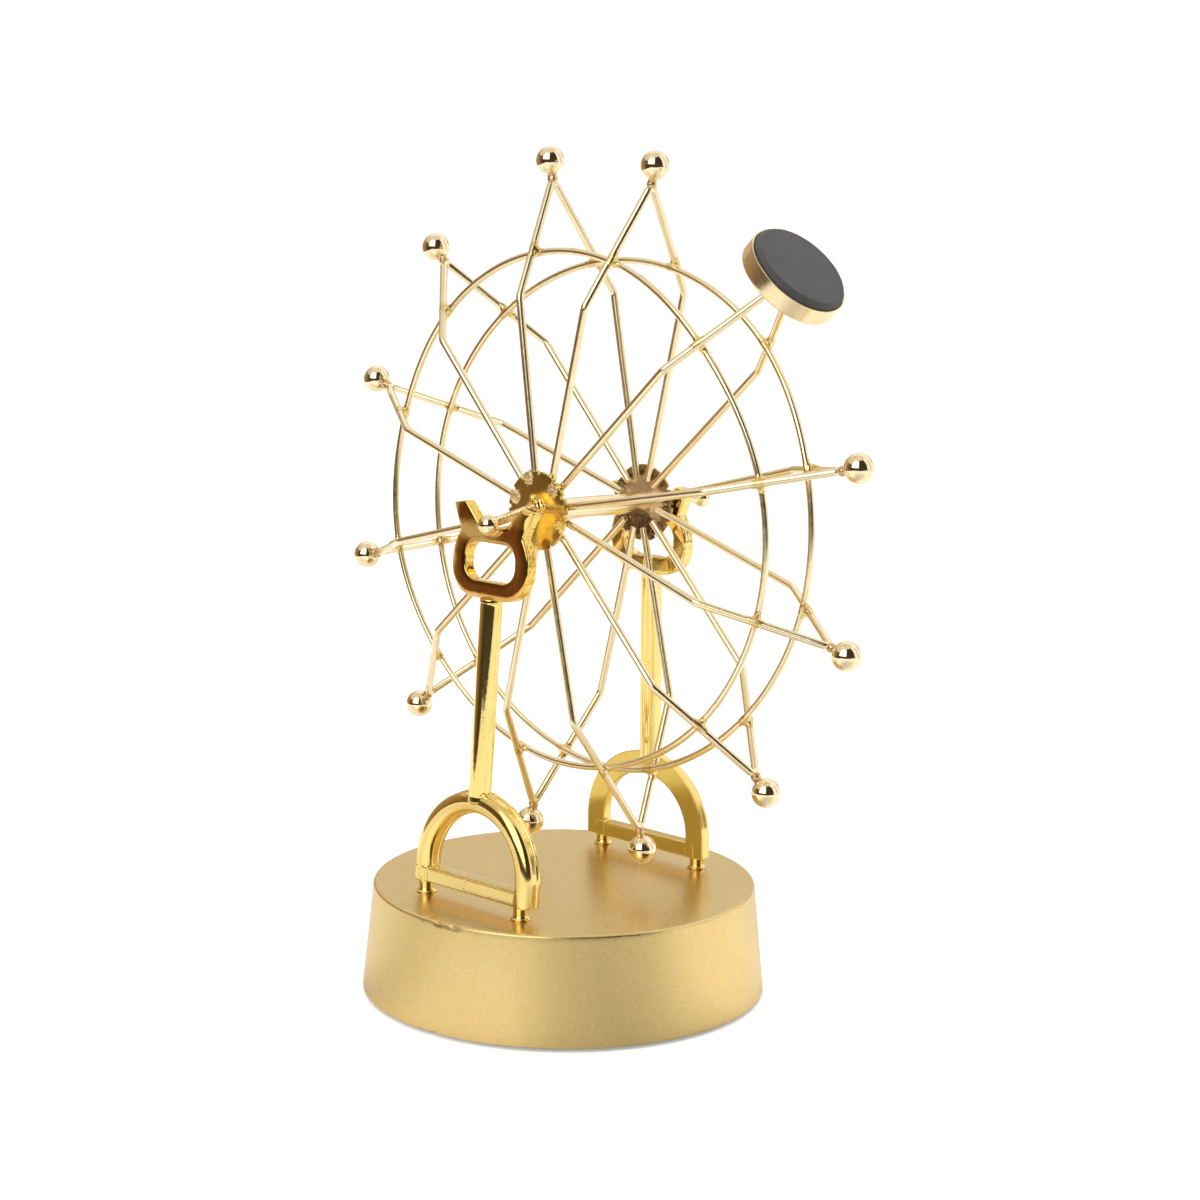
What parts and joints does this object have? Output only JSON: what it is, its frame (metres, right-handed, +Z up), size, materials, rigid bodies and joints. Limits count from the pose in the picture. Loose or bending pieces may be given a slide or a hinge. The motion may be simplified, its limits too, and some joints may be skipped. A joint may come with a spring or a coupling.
{
  "type": "ferris wheel desk toy",
  "caption": "Gold desk ferris wheel: a wheel of bent wire spokes with ball tips and a disc magnet turns in open cradles on stands over a round base with a drive coil.",
  "frame": {"origin": "on the surface the pads stand on, at the axis of the round base", "axes": "+Z up; the axle runs along Y and the front stand is at -Y; +X is to the right seen from the front"},
  "size_m": [0.1699, 0.1016, 0.2069],
  "materials": {
    "base_gold": "satin gold with a fine even grain",
    "stand_gold": "bright gold plating, mirror smooth",
    "wheel_gold": "pale gold plating on wire",
    "ball_gold": "pale gold plating, mirror smooth",
    "hub_gold": "gold plating darkened by soldering",
    "cup_gold": "satin gold plating",
    "ferrite": "dark grey sintered ferrite, matte",
    "black_plastic": "fine textured black",
    "white_plastic": "plain moulded",
    "pad_rubber": "soft, matte",
    "zinc_steel": "zinc plated",
    "cell_jacket": "plain dark jacket",
    "contact_metal": "nickel plated spring steel",
    "coil_copper": "enamelled copper wire",
    "board_green": "glass epoxy board with solder mask",
    "device_black": "moulded component body",
    "lead_insulation": "wire insulation"
  },
  "bodies": {
    "base": {"base_shell": "base_gold", "inner_chassis": "black_plastic", "bottom_plate": "black_plastic", "bottom_screws": "zinc_steel", "rubber_pads": "pad_rubber", "battery_cells": "cell_jacket", "rear_contact_strip": "contact_metal", "front_contact_tabs": "contact_metal", "contact_springs": "contact_metal", "coil_bobbin": "white_plastic", "drive_coil": "coil_copper", "circuit_board": "board_green", "board_posts": "black_plastic", "transistor": "device_black", "capacitor": "device_black", "lead_wires": "lead_insulation", "front_foot": "stand_gold", "front_post": "stand_gold", "front_cradle": "stand_gold", "rear_foot": "stand_gold", "rear_post": "stand_gold", "rear_cradle": "stand_gold", "stand_pins": "stand_gold", "pin_nuts": "zinc_steel"},
    "battery_cover": {"battery_cover": "black_plastic"},
    "wheel": {"axle_rod": "wheel_gold", "axle_ball_front": "ball_gold", "axle_ball_rear": "ball_gold", "front_hub": "hub_gold", "rear_hub": "hub_gold", "hub_tube": "wheel_gold", "front_ring": "wheel_gold", "rear_ring": "wheel_gold", "magnet_cup": "cup_gold", "drive_magnet": "ferrite", "spoke_01": "wheel_gold", "spoke_02": "wheel_gold", "spoke_03": "wheel_gold", "spoke_04": "wheel_gold", "spoke_05": "wheel_gold", "spoke_06": "wheel_gold", "spoke_07": "wheel_gold", "spoke_08": "wheel_gold", "spoke_09": "wheel_gold", "spoke_10": "wheel_gold", "spoke_11": "wheel_gold", "spoke_12": "wheel_gold", "tip_ball_01": "ball_gold", "tip_ball_02": "ball_gold", "tip_ball_03": "ball_gold", "tip_ball_04": "ball_gold", "tip_ball_05": "ball_gold", "tip_ball_06": "ball_gold", "tip_ball_07": "ball_gold", "tip_ball_08": "ball_gold", "tip_ball_09": "ball_gold", "tip_ball_10": "ball_gold", "tip_ball_11": "ball_gold"}
  },
  "joints": [
    {"name": "wheel_spin", "type": "hinge", "parent": "base", "child": "wheel", "pos_m": [0, 0.0082, 0.11917], "axis": [0, 1, 0.0027], "continuous": true},
    {"name": "battery_cover_swing", "type": "hinge", "parent": "base", "child": "battery_cover", "pos_m": [0, -0.0273, 0.0008], "axis": [1, 0, 0], "range_deg": [-75, 0]}
  ]
}
